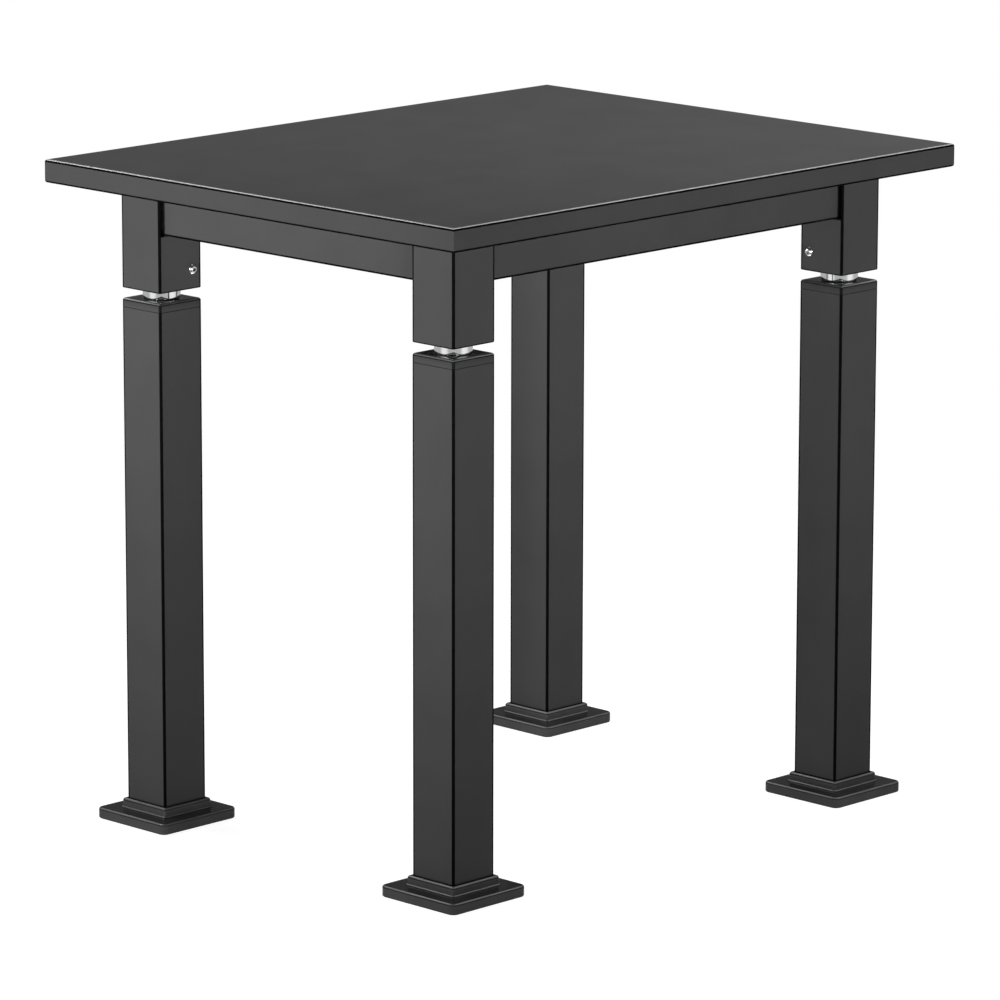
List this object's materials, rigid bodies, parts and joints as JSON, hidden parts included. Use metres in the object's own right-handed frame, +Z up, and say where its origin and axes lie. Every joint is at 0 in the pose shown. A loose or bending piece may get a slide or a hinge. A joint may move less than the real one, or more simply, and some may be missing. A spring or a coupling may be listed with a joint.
{
  "type": "height-adjustable laboratory table",
  "caption": "Laboratory table with a flat worktop on a welded square-tube frame; a screw adjuster with a spanner hexagon sets the height of each leg, which ends in a stepped foot.",
  "frame": {"origin": "on the floor, under the middle of the worktop", "axes": "+X along the long side to the right as seen from the front, +Y from the front to the back, +Z up"},
  "size_m": [0.775, 0.62, 0.73],
  "materials": {
    "worktop": "dark grey solid laminate, fine satin texture",
    "coat": "dark grey satin powder coat with a very fine texture",
    "cap": "dark grey coat, satin on the sides and smooth and glossy on top",
    "plastic": "black, glossy",
    "chrome": "bright plated",
    "steel": "plain machined",
    "bronze": "plain bearing bronze"
  },
  "bodies": {
    "frame": {"table_top": "worktop", "apron_front": "coat", "apron_back": "coat", "apron_left": "coat", "apron_right": "coat", "post_front_left": "coat", "corner_plate_front_left": "steel", "top_screw_front_left": "steel", "bearing_block_front_left": "steel", "thrust_washer_front_left": "bronze", "block_screw_front_left_a": "chrome", "block_screw_front_left_b": "chrome", "post_front_right": "coat", "corner_plate_front_right": "steel", "top_screw_front_right": "steel", "bearing_block_front_right": "steel", "thrust_washer_front_right": "bronze", "block_screw_front_right_a": "chrome", "block_screw_front_right_b": "chrome", "post_back_right": "coat", "corner_plate_back_right": "steel", "top_screw_back_right": "steel", "bearing_block_back_right": "steel", "thrust_washer_back_right": "bronze", "block_screw_back_right_a": "chrome", "block_screw_back_right_b": "chrome", "post_back_left": "coat", "corner_plate_back_left": "steel", "top_screw_back_left": "steel", "bearing_block_back_left": "steel", "thrust_washer_back_left": "bronze", "block_screw_back_left_a": "chrome", "block_screw_back_left_b": "chrome"},
    "leg_front_left": {"leg_nut_front_left": "steel", "leg_cap_front_left": "cap", "leg_tube_front_left": "coat", "foot_front_left": "plastic"},
    "spindle_front_left": {"adjuster_spindle_front_left": "chrome", "retaining_ring_front_left": "steel"},
    "leg_front_right": {"leg_nut_front_right": "steel", "leg_cap_front_right": "cap", "leg_tube_front_right": "coat", "foot_front_right": "plastic"},
    "spindle_front_right": {"adjuster_spindle_front_right": "chrome", "retaining_ring_front_right": "steel"},
    "leg_back_right": {"leg_nut_back_right": "steel", "leg_cap_back_right": "cap", "leg_tube_back_right": "coat", "foot_back_right": "plastic"},
    "spindle_back_right": {"adjuster_spindle_back_right": "chrome", "retaining_ring_back_right": "steel"},
    "leg_back_left": {"leg_nut_back_left": "steel", "leg_cap_back_left": "cap", "leg_tube_back_left": "coat", "foot_back_left": "plastic"},
    "spindle_back_left": {"adjuster_spindle_back_left": "chrome", "retaining_ring_back_left": "steel"}
  },
  "joints": [
    {"name": "leg_front_left_travel", "type": "slide", "parent": "frame", "child": "leg_front_left", "axis": [0, 0, -1], "range_m": [0, 0.1]},
    {"name": "spindle_front_left_turn", "type": "hinge", "parent": "frame", "child": "spindle_front_left", "pos_m": [-0.2995, -0.222, 0.5805], "axis": [0, 0, 1], "range_deg": [0, 7200]},
    {"name": "leg_front_right_travel", "type": "slide", "parent": "frame", "child": "leg_front_right", "axis": [0, 0, -1], "range_m": [0, 0.1]},
    {"name": "spindle_front_right_turn", "type": "hinge", "parent": "frame", "child": "spindle_front_right", "pos_m": [0.2995, -0.222, 0.5805], "axis": [0, 0, 1], "range_deg": [0, 7200]},
    {"name": "leg_back_right_travel", "type": "slide", "parent": "frame", "child": "leg_back_right", "axis": [0, 0, -1], "range_m": [0, 0.1]},
    {"name": "spindle_back_right_turn", "type": "hinge", "parent": "frame", "child": "spindle_back_right", "pos_m": [0.2995, 0.222, 0.5805], "axis": [0, 0, 1], "range_deg": [0, 7200]},
    {"name": "leg_back_left_travel", "type": "slide", "parent": "frame", "child": "leg_back_left", "axis": [0, 0, -1], "range_m": [0, 0.1]},
    {"name": "spindle_back_left_turn", "type": "hinge", "parent": "frame", "child": "spindle_back_left", "pos_m": [-0.2995, 0.222, 0.5805], "axis": [0, 0, 1], "range_deg": [0, 7200]}
  ],
  "couplings": [
    {"joint": "spindle_front_left_turn", "follows": "leg_front_left_travel", "rad_per_m": 1256.6},
    {"joint": "spindle_front_right_turn", "follows": "leg_front_right_travel", "rad_per_m": 1256.6},
    {"joint": "spindle_back_right_turn", "follows": "leg_back_right_travel", "rad_per_m": 1256.6},
    {"joint": "spindle_back_left_turn", "follows": "leg_back_left_travel", "rad_per_m": 1256.6}
  ]
}
